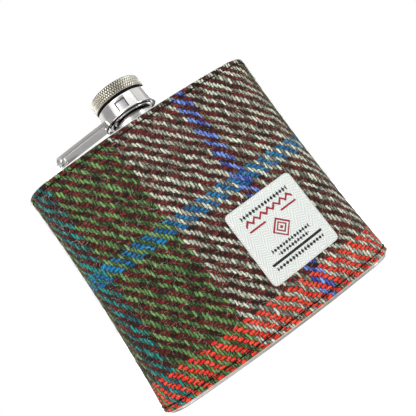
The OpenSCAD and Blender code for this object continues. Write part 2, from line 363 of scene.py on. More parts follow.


# %% [markdown]
# ## Metals
# Everything hard on this flask is metal. The band, the arm, the neck's tube and the top plate are polished
# steel, with faint wiping marks. The bottle's side, its base and the neck's collar are brushed. The tabs are
# as rough as the press left them, and their steel is painted darker as shade, since they sit pressed in. The
# cap's head is a slightly warmer, rougher nickel, because its knurl is rolled and never polished. Each is
# nearly pure reflection, so the detail is in the roughness and in a shallow bump, and in painted shade where
# the cap, the band's foot and the tabs lie in shadow.


# %% Steel finishes
# The near-black that stands for painted shade on the steel parts.
SHADE_BLACK = (0.012, 0.011, 0.010, 1)
SCRATCH = 0.001 * MM     # depth of one wiping mark


def steel(name, colour, roughness, stretch, scratch, spread, shade_below=None):
    """Steel with wiping marks. Given a pair of heights as its last argument, it turns black from the upper to
    the lower, as painted shade.
    """
    recipe = Recipe(name, Metallic=1.0)
    spot = recipe.place()
    x, y, z = recipe.parts(spot)
    along = recipe.joined(x * stretch[0], y * stretch[1], z * stretch[2])
    streaks = recipe.noise(along, 1.0, 3.0)
    clouds = recipe.noise(spot, 140.0, 2.0)
    darker = tuple(0.8 * c for c in colour[:3]) + (1.0,)
    base = recipe.blend(clouds.ramp(0.35, 0.7), colour, darker)
    # Painted shade: black below the lower height, fading out at the upper.
    if shade_below:
        base = recipe.blend(1 - z.ramp(*shade_below), base, SHADE_BLACK)
    rough = roughness + spread * (streaks + clouds - 1.0)
    normal = recipe.bump(streaks, scratch)
    return recipe.finish(Base_Color=base, Roughness=rough, Normal=normal)


POLISH = ((0.72, 0.71, 0.695, 1), 0.09, (300, 300, 2600), SCRATCH, 0.05)
POLISHED = steel("polished_steel", *POLISH)
# The tabs' steel is painted darker than the band, as shade on the pressed-in tabs; its roughness is the
# press's own.
SHADED_PRESSED = steel("shaded_pressed_steel", (0.44, 0.43, 0.44, 1), 0.42, (900, 900, 900), 4 * SCRATCH, 0.10)
BRUSHED = steel("brushed_steel", (0.74, 0.74, 0.73, 1), 0.27, (260, 260, 9000), 6 * SCRATCH, 0.12)


# %% [markdown]
# Some places on the cap are painted darker than bare steel, as shade: the groove between the band and the
# head, the inside of the cap's bore, the head's underside and the cuts of the knurl. They are found from the
# place itself: the groove and the underside from their height, the bore from its distance to the axis, and
# the cuts from how far they lie inside the full radius.


# %% Cap steels with painted shade
def from_axis(x, y):
    """How far a place is from the cap's axis."""
    return (x * x + y * y).math("SQRT")


def groove_steel(low, bore):
    """Painted shade: black above a height and inside the bore, so that only the lip at the foot stays bright.
    """
    recipe = Recipe("groove_steel", Metallic=1.0)
    spot = recipe.place()
    x, y, z = recipe.parts(spot)
    reach = from_axis(x, y)
    dark = z.ramp(low, low + 0.3 * MM).larger(1 - reach.ramp(bore, bore + 0.3 * MM))
    cloud = recipe.noise(spot, 900.0)
    base = recipe.blend(dark * (0.9 + 0.1 * cloud), (0.82, 0.81, 0.79, 1), SHADE_BLACK)
    return recipe.finish(Base_Color=base, Roughness=0.14 + 0.4 * dark)


def knurl_steel(radius, depth, low):
    """Painted shade: dark in the cuts and on the underside; beyond the cuts' reach the top of the head stays
    bright.
    """
    recipe = Recipe("knurl_steel", Metallic=1.0)
    spot = recipe.place()
    x, y, z = recipe.parts(spot)
    reach = from_axis(x, y)
    on_side = reach.ramp(radius - depth * 1.6, radius - depth * 1.2)
    cut = (radius - reach).ramp(depth * 0.25, depth * 0.85) * on_side
    under = 1 - z.ramp(low + 0.03 * MM, low + 0.16 * MM)
    grain = recipe.noise(spot, 3000.0, 3.0)
    base = recipe.blend(cut, (0.64, 0.62, 0.54, 1), (0.06, 0.055, 0.045, 1))
    base = recipe.blend(under, base, SHADE_BLACK)
    rough = 0.38 + 0.2 * cut + 0.15 * (grain - 0.5)
    return recipe.finish(Base_Color=base, Roughness=rough, Normal=recipe.bump(grain, 6 * SCRATCH))


# %% [markdown]
# The washer inside the cap is a dark food-safe rubber. It is matt, with a fine moulded grain.


# %% Rubber
def rubber():
    recipe = Recipe("washer_rubber", Roughness=0.7)
    grain = recipe.noise(recipe.place(), 5200.0, 3.0)
    base = recipe.blend(grain, tone(38, 37, 36), tone(62, 60, 57))
    return recipe.finish(Base_Color=base, Normal=recipe.bump(grain, 0.02 * MM))


RUBBER = rubber()

# %% [markdown]
# ## The tweed
# The cloth is a 2/2 twill: each upright warp yarn goes over two weft yarns and under two, and the next one
# starts one yarn lower, which draws the slanting ribs. One formula gives the height of both yarns at any
# place. The mesh uses it for the real relief, and the material uses it again to choose which yarn is seen.
# Places are counted in yarns: u counts warp yarns to the right from the front's middle, v counts weft yarns
# up from the bottom edge.

# %% Yarn count
WARP_PITCH = 1.08 * MM
WEFT_PITCH = 1.19 * MM
LEAN = 0.035             # how far the warp drifts to the left for each unit of height
FLOAT_LEAN = 0.30        # how far one float leans, in half yarns
WARP_LIFT = 0.55         # how much the tighter warp stands over the weft
WANDER = 0.25            # how far hand-spun yarns wander, in yarns
WAVER_U = (0.7, 2.3, 0.37)   # the warp's wander along a yarn, and how far and fast it shifts across them
WAVER_V = (0.6, 2.1, 0.43)   # the same for the weft
CROWN = 1.3              # how round a yarn is, against how deep it dives
PLATEAU = 1.8            # how quickly a float rises to its full height
HIDDEN = 9.0             # a depth that no yarn reaches, for the one that is covered
ROWS = round((COVER_HI - COVER_LO) / WEFT_PITCH)
print("weft rows", ROWS)


def weave_height(u, v):
    """Heights of the warp and of the weft at a place counted in yarns, for arrays."""
    u, v = (u + WANDER * np.sin(WAVER_U[0] * v + WAVER_U[1] * np.sin(WAVER_U[2] * u)),
            v + WANDER * np.sin(WAVER_V[0] * u + WAVER_V[1] * np.sin(WAVER_V[2] * v)))
    warp_phase = np.floor(u) + v - 1
    lean = (np.mod(warp_phase + 2, 4) - 2) * FLOAT_LEAN
    weft_phase = u + np.floor(v) - 3
    across_warp = np.clip(np.abs(2 * np.mod(u, 1) - 1 + lean), 0, 1)
    across_weft = 2 * np.mod(v, 1) - 1
    warp = (PLATEAU * np.cos(warp_phase * math.pi / 2)).clip(-1, 1) + CROWN * (1 - across_warp ** 2)
    warp = warp + WARP_LIFT
    weft = (PLATEAU * np.cos(weft_phase * math.pi / 2)).clip(-1, 1) + CROWN * (1 - across_weft ** 2)
    return warp, weft


# %% [markdown]
# ### The kidney outline
# In plan the bottle is a bent bar: a front arc, a back arc and two round ends. A place on the outline is
# given by its distance s from the front's middle, so cloth laid around it is neither stretched nor squeezed.
# The waist makes the way around a little shorter at half height, which only the cloth behind the sides takes
# up.


# %% Places around the bottle
TRUE_SHARE = 0.62        # share of each half, from the front, where the cloth lies true


def draw_in(z):
    """How far each side is drawn in at height z."""
    return WAIST * (1 - (2 * z / BODY_H - 1) ** 2)


def around(s, z, out):
    """Points and outward directions at distance s around, height z, and out from the steel."""
    s, z, out = np.broadcast_arrays(np.asarray(s, float), z, out)
    thick = BOTTLE_T / 2 + out
    half = BOTTLE_W / 2 - BOTTLE_T / 2 - draw_in(z)
    lead = np.arcsin(half / BEND)
    front = lead * (BEND + thick)
    cap = math.pi * thick
    whole = front + cap + lead * (BEND - thick)
    full = cloth_half(0.0, CLOTH_OUT)
    keep = full * TRUE_SHARE
    far = np.abs(s)
    far = np.where(far > keep, keep + (far - keep) * (whole - keep) / (full - keep), far)
    side = np.sign(s)
    turn_front = far / (BEND + thick)
    turn_cap = lead - math.pi / 2 + (far - front) / thick
    turn_back = lead - (far - front - cap) / (BEND - thick)
    on_front, on_back = far <= front, far > front + cap
    px = np.where(on_front, (BEND + thick) * np.sin(turn_front),
                  np.where(on_back, (BEND - thick) * np.sin(turn_back),
                           BEND * np.sin(lead) + thick * np.cos(turn_cap)))
    py = np.where(on_front, BEND - (BEND + thick) * np.cos(turn_front),
                  np.where(on_back, BEND - (BEND - thick) * np.cos(turn_back),
                           BEND - BEND * np.cos(lead) + thick * np.sin(turn_cap)))
    nx = np.where(on_front, np.sin(turn_front), np.where(on_back, -np.sin(turn_back), np.cos(turn_cap)))
    ny = np.where(on_front, -np.cos(turn_front), np.where(on_back, np.cos(turn_back), np.sin(turn_cap)))
    return np.stack([side * px, py, z], -1), np.stack([side * nx, ny, np.zeros_like(px)], -1)


def cloth_half(z, out):
    """Half the way around at height z."""
    thick = BOTTLE_T / 2 + out
    lead = math.asin((BOTTLE_W / 2 - BOTTLE_T / 2 - draw_in(z)) / BEND)
    return 2 * lead * BEND + math.pi * thick


HALF_ROUND = cloth_half(0.0, CLOTH_OUT)
WARPS = round(2 * HALF_ROUND / WARP_PITCH)
print("warp yarns around", WARPS, "flat width", round(2 * HALF_ROUND, 4))

# %% [markdown]
# ### The cover's mesh
# The cover is one closed ring of cloth: the woven outer face, two soft turned edges and a plain inner face.
# It is made as a grid with three points across each warp yarn and two across each weft yarn, which is enough
# to hold the ribs. Near each sewn line the thread pulls the cloth in, so a shallow groove runs there.

# %% Weave the cover
SEAMS = ("top_stitching", "bottom_stitching")
STITCH_Z = [(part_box(name)[0].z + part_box(name)[1].z) / 2 for name in SEAMS]
RELIEF = 0.26 * MM       # height of a yarn's crown over the bottom of the weave
EDGE = 0.62 * MM         # radius of the turned edges
PULL = 0.30 * MM         # how far the sewn line pulls the cloth in
PULL_W = 0.7 * MM        # how wide that groove is, to each side
SLACK = 0.08 * MM        # how far loose places of the cloth sink


def grid_faces(rows, columns):
    """Quads of a closed tube whose rows also close on each other."""
    row, column = np.meshgrid(np.arange(rows), np.arange(columns), indexing="ij")
    here = row * columns + column
    right = row * columns + (column + 1) % columns
    up = ((row + 1) % rows) * columns + column
    up_right = ((row + 1) % rows) * columns + (column + 1) % columns
    return np.stack([here, right, up_right, up], -1).reshape(-1, 4).tolist()


def cover_rows():
    """(height, out, is woven) of each ring of the cover, up the outside and down the inside."""
    turned = [math.radians(a) for a in (70, 40, 15)]
    low = [(COVER_LO + EDGE * (1 - math.sin(a)), CLOTH_OUT - EDGE * (1 - math.cos(a)), 1) for a in turned]
    high = [(COVER_HI - EDGE * (1 - math.sin(a)), CLOTH_OUT - EDGE * (1 - math.cos(a)), 1) for a in turned]
    count = 2 * ROWS - 2
    middle = [(z, CLOTH_OUT, 1) for z in np.linspace(COVER_LO + EDGE, COVER_HI - EDGE, count)]
    inside = [(z, CLOTH_IN, 0) for z in np.linspace(COVER_HI, COVER_LO, 5)]
    return low + middle + high[::-1] + inside


def weave_place(s, z):
    """Where a point of the cloth is, counted in yarns."""
    return s / WARP_PITCH + LEAN * (z - BODY_H / 2) / WARP_PITCH, (z - COVER_LO) / WEFT_PITCH


def make_cover():
    """The cover with its yarn counts as a map; the faces across the back seam count on past the last yarn."""
    rows = cover_rows()
    columns = 3 * WARPS
    s = (np.arange(columns) + 0.5) / columns * 2 * HALF_ROUND - HALF_ROUND
    points, yarns = [], []
    for z, out, woven in rows:
        spot, facing = around(s, z, out)
        u, v = weave_place(s, z)
        warp, weft = weave_height(u, v)
        crown = (np.maximum(warp, weft) / (1 + CROWN + WARP_LIFT)).clip(0, 1)
        pull = sum(math.exp(-((z - seam) / PULL_W) ** 2) for seam in STITCH_Z)
        soft = woven * ((crown - 1) * RELIEF - pull * PULL)
        slack = woven * SLACK * np.sin(s * 61 + z * 130) * np.sin(z * 95 - s * 23)
        points.append(spot + facing * (soft + np.minimum(slack, 0))[:, None])
        yarns.append(np.stack([u, np.full_like(u, v)], -1))
    cover = from_points("tweed_cloth", np.concatenate(points), grid_faces(len(rows), columns))
    layer = cover.data.uv_layers.new(name="yarns")
    faces = np.concatenate(yarns)[point_of_corner(cover)].reshape(-1, 4, 2)
    jump = (faces[:, :, 0].max(1) - faces[:, :, 0].min(1)) > WARPS / 2
    wrapped = faces[jump]
    wrapped[:, :, 0] = np.where(wrapped[:, :, 0] < 0, wrapped[:, :, 0] + WARPS, wrapped[:, :, 0])
    faces[jump] = wrapped
    layer.data.foreach_set("uv", faces.reshape(-1))
    cover.data.shade_smooth()
    return cover


cover = make_cover()
print("cover triangles", 2 * len(cover.data.polygons))

# %% [markdown]
# ### The cloth's colours
# A check is only a list of yarn colours, each with the yarn that it starts from. The warp list runs around
# the flask, and across its front it gives teal, moss green, pale sage, a narrow periwinkle stripe and sage
# again. The weft list runs up it: a brick red band at the foot, dark maroon, a narrow blue stripe above half
# height, and maroon again. Each colour has two shades, because tweed is spun from wool that was dyed before
# spinning, so every yarn is a mixture.

# %% Yarn colours
TEAL = (tone(8, 60, 70), tone(22, 160, 150))
MOSS = (tone(26, 56, 32), tone(122, 168, 98))
SAGE = (tone(90, 90, 78), tone(228, 236, 214))
PERIWINKLE = (tone(38, 60, 150), tone(132, 168, 246))
MAROON = (tone(24, 8, 11), tone(116, 36, 38))
BRICK = (tone(214, 40, 32), tone(250, 84, 62))
SEA_BLUE = (tone(4, 72, 124), tone(14, 132, 184))
WARP_LIST = [(-103, SAGE), (-88, MOSS), (-62, SAGE), (-50, MOSS), (-43, TEAL), (-35, MOSS), (-11, SAGE),
             (14, PERIWINKLE), (18, SAGE), (42, MOSS), (62, TEAL), (74, SAGE), (88, PERIWINKLE), (92, SAGE)]
WEFT_LIST = [(0, BRICK), (9, MAROON), (38, SEA_BLUE), (43, MAROON)]


def stops(colour_list, first, last, shade):
    """One shade of a list's colours, as places from 0 to 1 between two yarns."""
    return [(max(0.0, (start - first) / (last - first)), yarn[shade]) for start, yarn in colour_list]


# %% [markdown]
# ### The tweed material
# The material repeats the weave formula with nodes. Noise bends the yarns a little, a random number gives
# each float its own shade, and a long thin noise draws the separate wool fibres along the yarn. The bottoms
# of the weave are darkened, because little light reaches them.


# %% Tweed material
def tweed():
    recipe = Recipe("tweed", Roughness=0.92, Sheen_Weight=0.08, Sheen_Roughness=0.5,
                    Specular_IOR_Level=0.12)
    spot = recipe.place()
    raw_u, raw_v, _ = recipe.parts(recipe.own_map("yarns"))
    wander_u = (raw_v * WAVER_U[0] + (raw_u * WAVER_U[2]).sine() * WAVER_U[1]).sine() * WANDER
    wander_v = (raw_u * WAVER_V[0] + (raw_v * WAVER_V[2]).sine() * WAVER_V[1]).sine() * WANDER
    fuzz = recipe.noise(spot, 2300.0, 3.0, 0.75) - 0.5
    u = raw_u + wander_u + 1.1 * fuzz
    v = raw_v + wander_v + 1.1 * (recipe.noise(recipe.joined(raw_v, raw_u), 1.3, 2.0, 0.7) - 0.5)
    column, row = u.floor(), v.floor()
    quarter = math.pi / 2    # a yarn goes over and under once in four, so one yarn is a quarter turn
    phase = (column + v + 1.0).wrap(4.0) - 2.0
    across_warp = ((u - column) * 2.0 - 1.0 + phase * FLOAT_LEAN).size().smaller(1.0)
    across_weft = (v - row) * 2.0 - 1.0
    warp_rise = (((column + v - 1.0) * quarter).cosine() * PLATEAU).smaller(1.0).larger(-1.0)
    weft_rise = (((u + row - 3.0) * quarter).cosine() * PLATEAU).smaller(1.0).larger(-1.0)
    warp = WARP_LIFT + warp_rise + CROWN * (1 - across_warp * across_warp)
    weft = weft_rise + CROWN * (1 - across_weft * across_weft)
    on_top = warp.above(weft)
    height = (warp - WARP_LIFT * on_top).larger(weft - HIDDEN * on_top) / (1 + CROWN)

    warp_float = recipe.chance(recipe.joined(column, ((column + v + 1.0) / 4.0).floor(), 1.0))
    weft_float = recipe.chance(recipe.joined(row, ((row + u - 1.0) / 4.0).floor(), 2.0))
    warp_fibre = recipe.noise(recipe.joined(u * 5.5 + v * 1.2, v * 0.9), 1.0, 3.0, 0.65)
    weft_fibre = recipe.noise(recipe.joined(u * 0.9, v * 5.5 + u * 1.2, 7.0), 1.0, 3.0, 0.65)
    warp_mix = (warp_float * 1.0 + warp_fibre * 3.0 - 1.60).ramp(0.0, 0.9)
    weft_mix = (weft_float * 0.9 + weft_fibre * 3.0 - 1.60).ramp(0.0, 0.9)

    first, last = WARP_LIST[0][0], WARPS / 2 + 1
    warp_place = (column + 0.5 - first) / (last - first)
    weft_place = (row + 0.5) / (ROWS + 1)
    warp_shades = [recipe.colours(warp_place, stops(WARP_LIST, first, last, k), True) for k in (0, 1)]
    weft_shades = [recipe.colours(weft_place, stops(WEFT_LIST, 0, ROWS + 1, k), True) for k in (0, 1)]
    warp_colour = recipe.blend(warp_mix, *warp_shades)
    weft_colour = recipe.blend(weft_mix, *weft_shades)
    colour = recipe.blend(on_top, weft_colour, warp_colour)

    fleck = recipe.noise(recipe.joined(u * 1.7, v * 1.7, 4.0), 1.0, 4.0, 0.75)
    colour = recipe.blend(fleck.ramp(0.52, 0.66) * 0.70, colour, tone(74, 24, 26))
    colour = recipe.blend(fleck.ramp(0.45, 0.30) * 0.45, colour, tone(132, 164, 96))
    grain = recipe.noise(spot, 2400.0, 3.0, 0.7)
    warp_core = (1 - across_warp.ramp(0.38, 0.88)) * on_top
    weft_core = (1 - across_weft.size().ramp(0.45, 1.1)) * (1 - on_top)
    core = warp_core + weft_core
    shade = height.ramp(0.30, 0.80) * core * grain.ramp(0.26, 0.50)
    colour = recipe.blend((1 - shade) * 0.93, colour, tone(24, 9, 11))
    relief = height + 0.20 * (warp_fibre * on_top + weft_fibre * (1 - on_top))
    return recipe.finish(Base_Color=colour, Normal=recipe.bump(relief, 0.35 * MM, 0.8))


TWEED = tweed()

# %% [markdown]
# ## Putting pieces in the frame
# Every piece rides on a body of the frame, takes its material, and stands for the frame's
# plainer nodes. One helper does all three, so that none is forgotten.


# %% Place a piece
def belongs(piece, body, slot, material, *stands_for):
    piece.data.materials.clear()
    piece.data.materials.append(material)
    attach(piece, body)
    if stands_for:
        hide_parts(*stands_for)
    return piece


belongs(cover, "flask", "tweed", TWEED, "tweed_cover")

# %% [markdown]
# ## The lining
# A pale cotton canvas lies between the tweed and the steel. Only its edges show, as a thin light line under
# and over the tweed. It is a plain sleeve with a fine plain weave in the material.


# %% Lining
def sleeve(name, inner, outer, low, high, columns=260, levels=10):
    """A plain closed tube of cloth between two distances from the steel."""
    heights = np.linspace(low, high, levels)
    rings = [(z, outer) for z in heights] + [(z, inner) for z in heights[::-1]]
    s = (np.arange(columns) + 0.5) / columns * 2 * HALF_ROUND - HALF_ROUND
    points = np.concatenate([around(s, z, out)[0] for z, out in rings])
    return from_points(name, points, grid_faces(len(rings), columns))


def canvas():
    recipe = Recipe("lining_canvas", Roughness=0.9, Sheen_Weight=0.2)
    x, y, z = recipe.parts(recipe.place())
    threads = ((x + y) * 9000.0).cosine() * (z * 9000.0).cosine()
    cloud = recipe.noise(recipe.place(), 900.0, 3.0)
    base = recipe.blend(cloud.ramp(0.3, 0.7), tone(214, 203, 184), tone(240, 232, 217))
    return recipe.finish(Base_Color=base, Normal=recipe.bump(threads + cloud, 0.08 * MM))


CANVAS = canvas()
lining = sleeve("canvas_lining", SKIN, LINING_OUT, LINING_LO, LINING_HI)
lining.data.shade_smooth()
modify(lining, "BEVEL", width=0.12 * MM, segments=2, limit_method="ANGLE", angle_limit=math.radians(50))
belongs(lining, "flask", "lining_canvas", CANVAS, "cover_lining")
print("lining from", LINING_LO, "to", LINING_HI)

# %% [markdown]
# ## Stitches
# A sewing machine leaves a row of short, separate stitches. Each one is a small cylinder of thread whose
# ends dive into the cloth. It is modelled once, cut into four lengths so that its ends can be sunk and
# thinned, and then copied along the seam, and every copy is bent to the outline by placing its own points.


# %% One stitch
def one_stitch(length, thick):
    """Corners and faces of a stitch along X, with Y outwards."""
    bpy.ops.object.select_all(action="DESELECT")
    bpy.ops.mesh.primitive_cylinder_add(vertices=8, radius=thick / 2, depth=length,
                                        rotation=(0, math.pi / 2, 0))
    stitch = bpy.context.active_object
    only(stitch)
    bpy.ops.object.transform_apply(location=False, rotation=True, scale=False)
    start_edit(stitch)
    for cut in (0.3, -0.3, 0):
        bpy.ops.mesh.select_all(action="SELECT")
        bpy.ops.mesh.bisect(plane_co=(length * cut, 0, 0), plane_no=(1, 0, 0))
    end_edit()
    corners = np.array([vertex.co for vertex in stitch.data.vertices])
    ends = (2 * np.abs(corners[:, 0]) / length) ** 3
    corners[:, 1] -= ends * thick * 0.75
    corners[:, 1:] *= (1 - 0.35 * ends)[:, None]
    faces = [list(face.vertices) for face in stitch.data.polygons]
    bpy.data.objects.remove(stitch)
    return corners, faces


def sewn(name, places, length, thick):
    """Stitches at (s, z, out, turn) places; turn is the stitch's angle on the cloth."""
    corners, faces = one_stitch(length, thick)
    points, all_faces = [], []
    for s, z, out, turn in places:
        along = corners[:, 0] * math.cos(turn) - corners[:, 2] * math.sin(turn)
        up = corners[:, 0] * math.sin(turn) + corners[:, 2] * math.cos(turn)
        spot, facing = around(s + along, z + up, CLOTH_OUT + out)
        all_faces += [[k + len(points) * len(corners) for k in face] for face in faces]
        points.append(spot + facing * corners[:, 1][:, None])
    row = from_points(name, np.concatenate(points), all_faces)
    start_edit(row)
    bpy.ops.mesh.normals_make_consistent(inside=False)
    end_edit()
    row.data.shade_smooth()
    print(name, "has", len(places), "stitches")
    return row


def thread(name, dark, light, twist):
    recipe = Recipe(name, Roughness=0.75, Specular_IOR_Level=0.2)
    x, y, z = recipe.parts(recipe.place())
    strands = ((x + y + z) * twist).cosine()
    base = recipe.blend(strands.ramp(-1.0, 1.0), dark, light)
    return recipe.finish(Base_Color=base, Normal=recipe.bump(strands, 0.04 * MM))


BLACK_THREAD = thread("black_thread", tone(3, 3, 4), tone(16, 15, 17), 14000.0)
WHITE_THREAD = thread("white_thread", tone(196, 196, 188), tone(246, 246, 240), 14000.0)

# %% [markdown]
# The black rows run right around the cover, near its two edges. The seam that closes the cover is down the
# middle of the back, with one upright row on each side.

# %% Sew the cover
STITCH = 2.6 * MM
STITCH_STEP = 3.0 * MM
THREAD = 0.46 * MM
ROW_OUT = -0.06 * MM     # how far a stitch's middle stands out from the cloth; below 0 it is sunk in
SEAM_OUT = -0.1 * MM     # the same for the seam at the back
round_count = round(2 * HALF_ROUND / STITCH_STEP)
for z, name in zip(STITCH_Z, SEAMS):
    around_it = (np.arange(round_count) + 0.5) / round_count * 2 * HALF_ROUND - HALF_ROUND
    ring = [(s, z, ROW_OUT, 0.0) for s in around_it]
    belongs(sewn(name + "_thread", ring, STITCH, THREAD), "flask", "black_thread", BLACK_THREAD, name)

seam_lo, seam_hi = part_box("back_seam_stitching")
seam_half = (seam_hi.x - seam_lo.x) / 2 - THREAD / 2
seam_count = round((seam_hi.z - seam_lo.z) / STITCH_STEP)
seam_step = (seam_hi.z - seam_lo.z - STITCH) / (seam_count - 1)
seam = [(side * (HALF_ROUND - seam_half), seam_lo.z + STITCH / 2 + k * seam_step, SEAM_OUT, math.pi / 2)
        for side in (-1, 1) for k in range(seam_count)]
belongs(sewn("back_seam_thread", seam, STITCH, THREAD), "flask", "black_thread", BLACK_THREAD,
        "back_seam_stitching")

# %% [markdown]
# ## The woven label
# The label is a small square of white damask with round corners and its edges turned under. Its ground is a
# fine herringbone, and a plain ornament is woven into it: four rows of small black lozenges, a red zigzag
# over two red bars, a red diamond of nested lines, and a black bar. It carries no words. The ornament is
# counted in the label's own fine picks, so its edges are stepped as woven ones are.

# %% Label cloth
LABEL_W, LABEL_H, LABEL_T = 28.2 * MM, 28.0 * MM, 0.5 * MM
LABEL_S, LABEL_Z = 18.6 * MM, 28.5 * MM
LABEL_TURN = math.radians(1.4)
LABEL_ROUND = 1.7 * MM
LABEL_LIFT = 0.06 * MM
LABEL_FOLD = 0.55 * MM   # width of the turned edge
LABEL_INSET = 1.0 * MM   # from the label's edge to its stitches
PUCKER_W, PUCKER_H = 0.35 * MM, 0.05 * MM


def on_cover(x, y):
    """A place on the label, from its own middle, as a distance around the cover and a height."""
    return (LABEL_S + x * math.cos(LABEL_TURN) - y * math.sin(LABEL_TURN),
            LABEL_Z + x * math.sin(LABEL_TURN) + y * math.cos(LABEL_TURN))


def label_point(x, y, out):
    """A place on the label, carried to the cover's front."""
    spot, facing = around(*on_cover(x, y), CLOTH_OUT + LABEL_LIFT)
    return spot + facing * np.asarray(out)[..., None]


def label_mesh():
    """A square grid drawn in to round corners, with a second layer behind it and a rim between them."""
    count = 64
    edge = np.linspace(-1, 1, count + 1)
    across, up = np.meshgrid(edge, edge, indexing="ij")
    x, y = across * LABEL_W / 2, up * LABEL_H / 2
    core_x, core_y = LABEL_W / 2 - LABEL_ROUND, LABEL_H / 2 - LABEL_ROUND
    over_x, over_y = np.maximum(np.abs(x) - core_x, 0), np.maximum(np.abs(y) - core_y, 0)
    reach = np.hypot(over_x, over_y)
    box = np.maximum(over_x, over_y)
    shrink = np.where(reach > 0, box / np.maximum(reach, 1e-12), 1.0)
    x = np.sign(x) * (np.minimum(np.abs(x), core_x) + over_x * shrink)
    y = np.sign(y) * (np.minimum(np.abs(y), core_y) + over_y * shrink)
    rim = LABEL_ROUND - np.hypot(np.maximum(np.abs(x) - core_x, 0), np.maximum(np.abs(y) - core_y, 0))
    rim = np.where(box > 0, rim, LABEL_ROUND)
    fall = np.clip(1 - rim / LABEL_FOLD, 0, 1) ** 2
    stitch_line = np.exp(-((rim - LABEL_INSET) / PUCKER_W) ** 2)
    pucker = PUCKER_H * stitch_line * (1 + np.sin((x + y) * 1900))
    front = LABEL_T - fall * LABEL_T * 0.55 - pucker
    points = np.concatenate([label_point(x, y, front).reshape(-1, 3),
                             label_point(x, y, 0 * x).reshape(-1, 3)])
    size = count + 1
    row, column = np.meshgrid(np.arange(count), np.arange(count), indexing="ij")
    here = row * size + column
    face = np.stack([here, here + size, here + size + 1, here + 1], -1).reshape(-1, 4)
    border = ([(k, 0) for k in range(count)] + [(count, k) for k in range(count)]
              + [(k, count) for k in range(count, 0, -1)] + [(0, k) for k in range(count, 0, -1)])
    rim_index = np.array([a * size + b for a, b in border])
    after = np.roll(rim_index, -1)
    side = np.stack([after, rim_index, rim_index + size * size, after + size * size], -1)
    faces = np.concatenate([face, face[:, ::-1] + size * size, side])
    label = from_points("label_cloth", points, faces.tolist())
    layer = label.data.uv_layers.new(name="cloth")
    flat = np.stack([x, y], -1).reshape(-1, 2) / MM
    layer.data.foreach_set("uv", np.concatenate([flat, flat])[point_of_corner(label)].reshape(-1))
    label.data.shade_smooth()
    return label


label = label_mesh()
print("label faces", len(label.data.polygons))


# %% [markdown]
# The ornament is built from masks. Each mask is 1 where its thread shows and 0 elsewhere, and masks are
# added with the larger of two and cut with a product. Its sizes are in millimetres from the label's middle,
# as the label's own map is.


# %% Label material
def label_weave():
    recipe = Recipe("label_weave", Roughness=0.8, Sheen_Weight=0.08)
    x, y, _ = recipe.parts(recipe.own_map("cloth"))
    pick = 0.22              # one step of the woven ornament
    px = ((x / pick).floor() + 0.5) * pick
    py = ((y / pick).floor() + 0.5) * pick

    def band(low, high):
        return py.above(low) * py.below(high)

    def within(reach):
        return px.size().below(reach)

    def lozenges(middle, tall, step, reach):
        """A row of small diamonds with a dot of ground between them."""
        along = (px / step).wrap(1.0) - 0.5
        shape = (along.size() * 2.0 + (py - middle).size() / (tall / 2)).below(0.9)
        return shape * within(reach)

    def zigzag(middle, tall, step, thick, reach):
        wave = ((px / step).wrap(1.0) - 0.5).size() * 2.0 - 0.5
        return (py - middle - wave * tall).size().below(thick) * within(reach)

    black = lozenges(9.9, 1.9, 1.3, 9.8)
    black = black.larger(lozenges(-4.5, 1.6, 1.2, 7.9))
    black = black.larger(lozenges(-6.3, 1.6, 1.2, 6.3))
    black = black.larger(band(-8.5, -7.7) * within(10.6))
    black = black.larger(lozenges(-9.9, 1.7, 1.3, 9.8))
    red = zigzag(7.4, 1.5, 2.8, 0.5, 9.9)
    red = red.larger(band(4.3, 5.0) * within(9.8) * px.size().above(3.4))
    distance = px.size() + (py - 0.3).size()
    nested = (distance / 1.5).wrap(1.0).below(0.45) * distance.below(4.3)
    red = red.larger(nested)

    rib_w = 4.4
    rib = ((x / rib_w).wrap(1.0) - 0.5).size() * rib_w
    bone = ((y + rib) * 8.6).cosine()
    fine = recipe.noise(recipe.joined(x * 7.0, y * 7.0), 1.0, 2.0)
    white = recipe.blend(bone.ramp(-0.7, 0.5), tone(168, 174, 170), tone(222, 226, 223))
    white = recipe.blend(fine.ramp(0.55, 0.8) * 0.35, white, tone(190, 196, 192))
    fray = recipe.noise(recipe.joined(x * 4.0, y * 4.0, 3.0), 1.0, 2.0).ramp(0.24, 0.34)
    colour = recipe.blend(black * fray, white, tone(6, 6, 8))
    colour = recipe.blend(red * fray, colour, tone(140, 4, 28))
    relief = bone * 0.5 + fine * 0.6 + black.larger(red) * 0.8
    return recipe.finish(Base_Color=colour, Normal=recipe.bump(relief, 0.10 * MM))


belongs(label, "flask", "label_cloth", label_weave(), "woven_label")

# %% [markdown]
# Small white stitches hold the label down, just inside its edge.

# %% Sew the label
LABEL_STEP = 2.9 * MM


def label_places():
    """The stitches' places on the cover, along the label's four sides."""
    for side in (-1, 1):
        for length, other, turn in ((LABEL_W, LABEL_H, 0.0), (LABEL_H, LABEL_W, math.pi / 2)):
            count = int((length - 4 * LABEL_INSET) / LABEL_STEP)
            for k in range(count):
                along = (k + 0.5 - count / 2) * LABEL_STEP
                away = side * (other / 2 - LABEL_INSET)
                s, z = on_cover(along, away) if turn == 0.0 else on_cover(away, along)
                yield s, z, LABEL_LIFT + LABEL_T - 0.02 * MM, turn + LABEL_TURN


label_thread = sewn("label_thread", list(label_places()), length=1.6 * MM, thick=0.34 * MM)
belongs(label_thread, "flask", "white_thread", WHITE_THREAD, "label_stitching")

# %% [markdown]
# ## Stray fibres
# Wool is hairy. Fine loose fibres stand off the surface and catch the light, and more than anything else
# they tell the eye that this is tweed. Each one is a thin three-sided thread that follows a random walk just
# over the cloth. The random numbers are seeded, so every run grows the same hairs.


